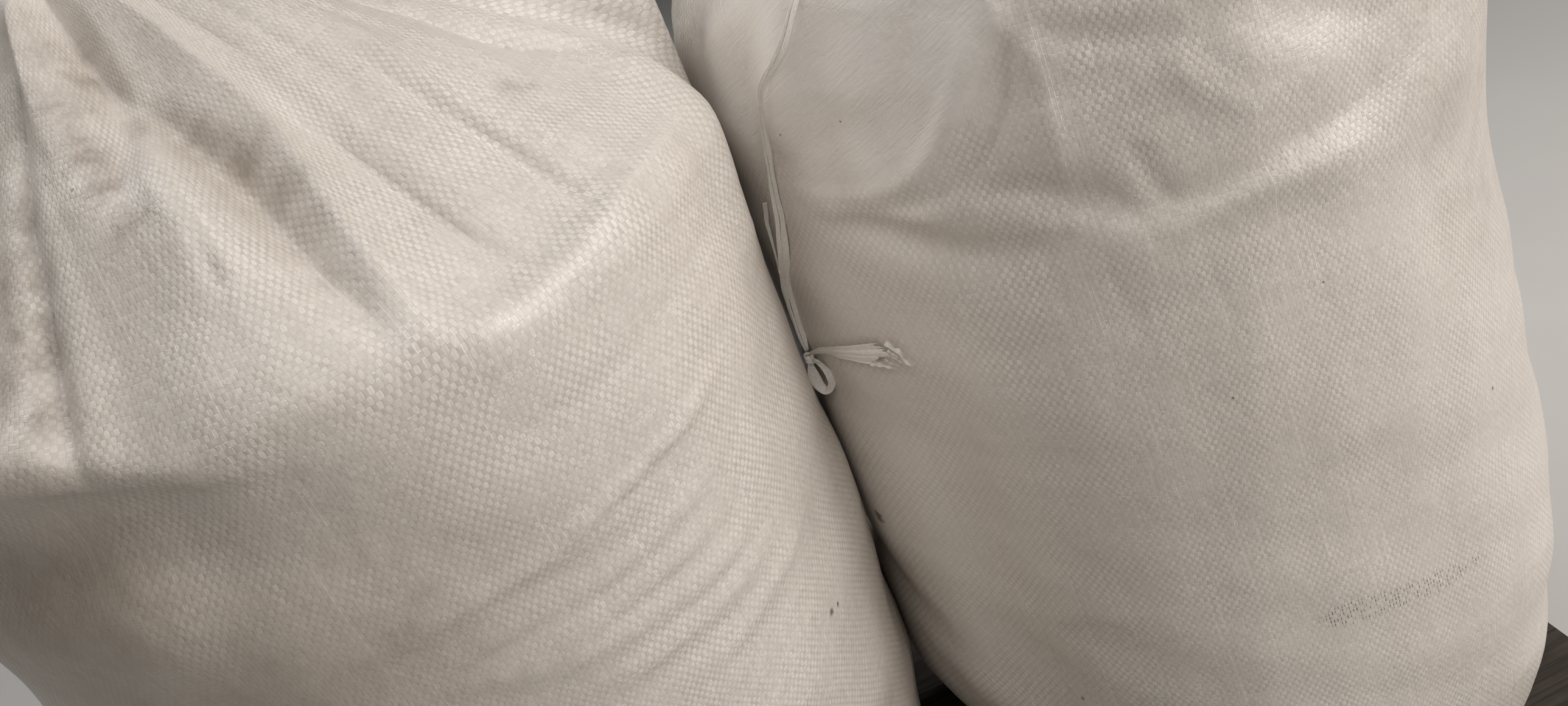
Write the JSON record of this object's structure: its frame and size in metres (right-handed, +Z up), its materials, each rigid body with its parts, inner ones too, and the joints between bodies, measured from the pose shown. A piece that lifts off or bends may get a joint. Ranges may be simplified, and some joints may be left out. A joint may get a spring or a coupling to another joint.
{
  "type": "pallet of sacks",
  "caption": "Filled woven sacks standing on a small block pallet, each gathered at the top and tied with film tape, one with a long knotted tape tail.",
  "frame": {"origin": "on the floor, at the middle of the underside of the pallet's middle bottom board", "axes": "+X along the pallet's length, with the sacks side by side, +Y away from the viewer, +Z up"},
  "size_m": [0.8359, 0.6, 0.9863],
  "materials": {
    "pallet_wood": "matte",
    "woven_cloth": "satin",
    "film_tape": "satin"
  },
  "bodies": {
    "root": {"deck_board_1": "pallet_wood", "deck_board_2": "pallet_wood", "deck_board_3": "pallet_wood", "deck_board_4": "pallet_wood", "deck_board_5": "pallet_wood", "cross_board_1": "pallet_wood", "cross_board_2": "pallet_wood", "cross_board_3": "pallet_wood", "block_1": "pallet_wood", "block_2": "pallet_wood", "block_3": "pallet_wood", "block_4": "pallet_wood", "block_5": "pallet_wood", "block_6": "pallet_wood", "block_7": "pallet_wood", "block_8": "pallet_wood", "block_9": "pallet_wood", "bottom_board_1": "pallet_wood", "bottom_board_2": "pallet_wood", "bottom_board_3": "pallet_wood", "sack_left": "woven_cloth", "sack_right": "woven_cloth", "tie_left": "film_tape", "tie_right": "film_tape", "tape_tail": "film_tape", "tail_knot": "film_tape", "tail_loop": "film_tape", "tail_end": "film_tape"}
  },
  "joints": []
}
